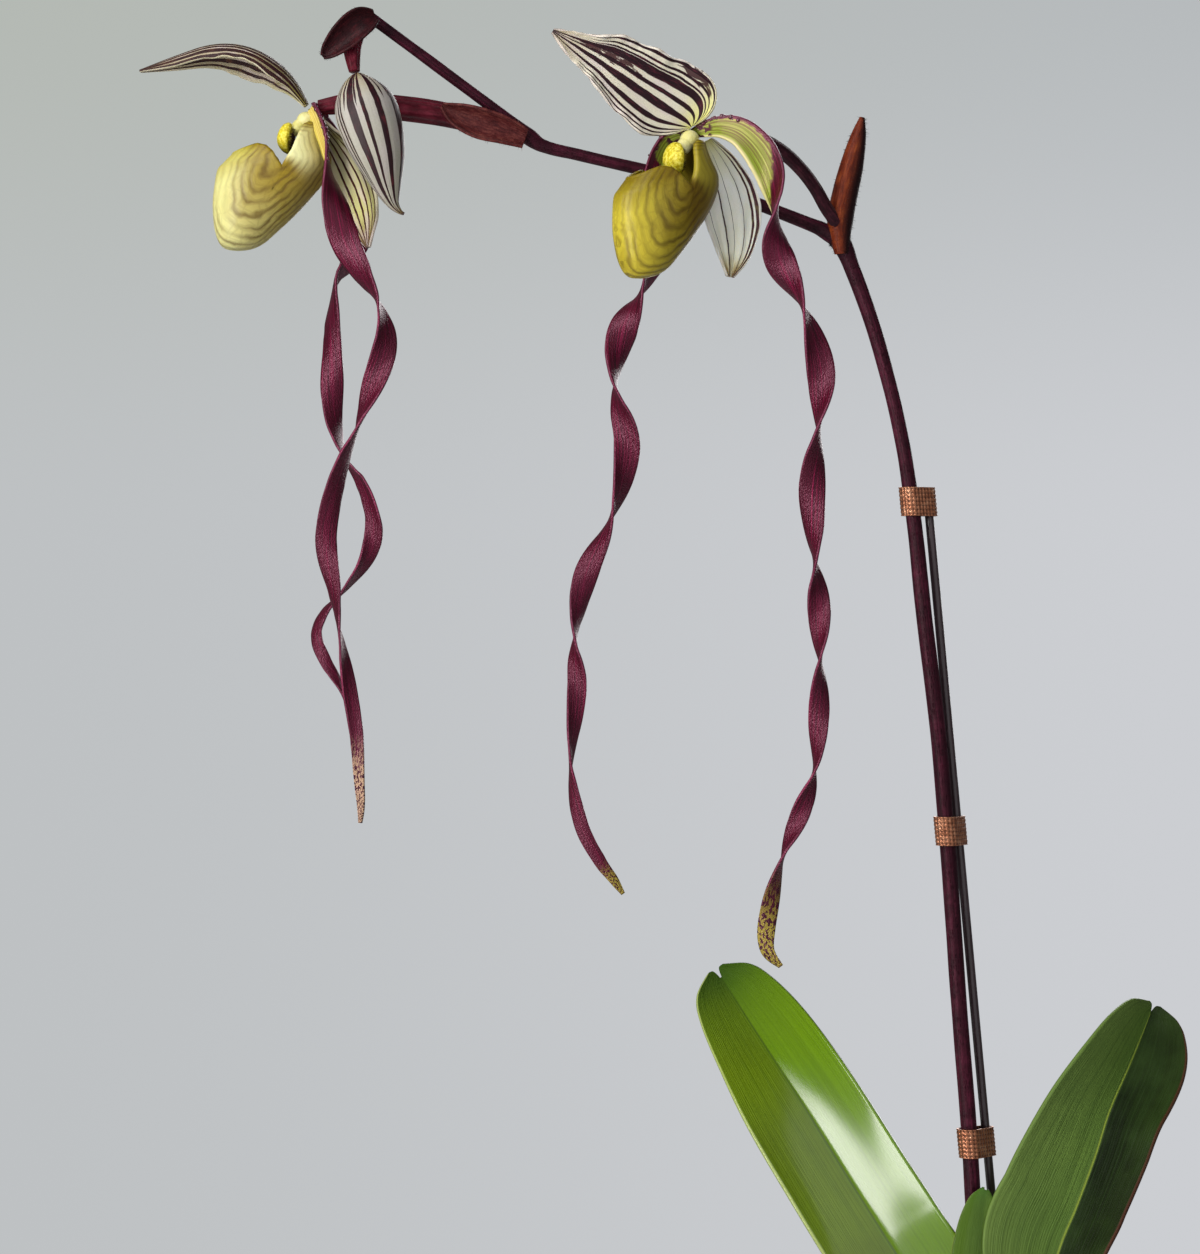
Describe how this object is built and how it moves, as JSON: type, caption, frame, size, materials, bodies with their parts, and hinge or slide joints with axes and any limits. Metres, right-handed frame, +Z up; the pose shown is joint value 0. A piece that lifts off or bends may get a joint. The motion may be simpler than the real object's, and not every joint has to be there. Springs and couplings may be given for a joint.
{
  "type": "potted paphiopedilum philippinense",
  "caption": "Slipper orchid in a plain round pot: arching staked stem, striped sepals, long twisted maroon petals, ochre pouches and strap leaves.",
  "frame": {"origin": "centre of the pot's flat underside, on the surface it stands on", "axes": "+Z up along the plant, +X to the right and -Y towards the viewer of the pictured side; the flower stem arches over to -X"},
  "size_m": [0.2695, 0.11, 0.4435],
  "materials": {
    "pot": "matte glaze, plain",
    "bark": "rough bark chips",
    "stem": "dark maroon, finely hairy",
    "stake": "satin dark grey-brown",
    "tie": "fine copper mesh",
    "leaf": "glossy green leaf",
    "bract": "chestnut to dark maroon, finely hairy",
    "ovary": "ribbed dark maroon",
    "sepal": "cream with maroon stripes",
    "petal": "burgundy with a granular sheen",
    "pouch": "glossy ochre yellow with brown veins",
    "column": "waxy yellow and cream"
  },
  "bodies": {
    "root": {"pot": "pot", "bark_medium": "bark", "flower_stem": "stem", "stake": "stake", "tie_top": "tie", "tie_middle": "tie", "tie_bottom": "tie", "leaf_left": "leaf", "leaf_right": "leaf", "leaf_centre": "leaf", "bract_middle": "bract", "bract_left": "bract", "bract_bud": "bract", "ovary_left": "ovary", "ovary_middle": "ovary", "ovary_bud": "ovary", "dorsal_sepal_left": "sepal", "dorsal_sepal_middle": "sepal", "synsepal_left": "sepal", "synsepal_middle": "sepal", "petal_left_near": "petal", "petal_left_far": "petal", "petal_middle_right": "petal", "petal_middle_left": "petal", "pouch_left": "pouch", "pouch_middle": "pouch", "column_left": "column", "column_middle": "column", "bud": "sepal"}
  },
  "joints": []
}
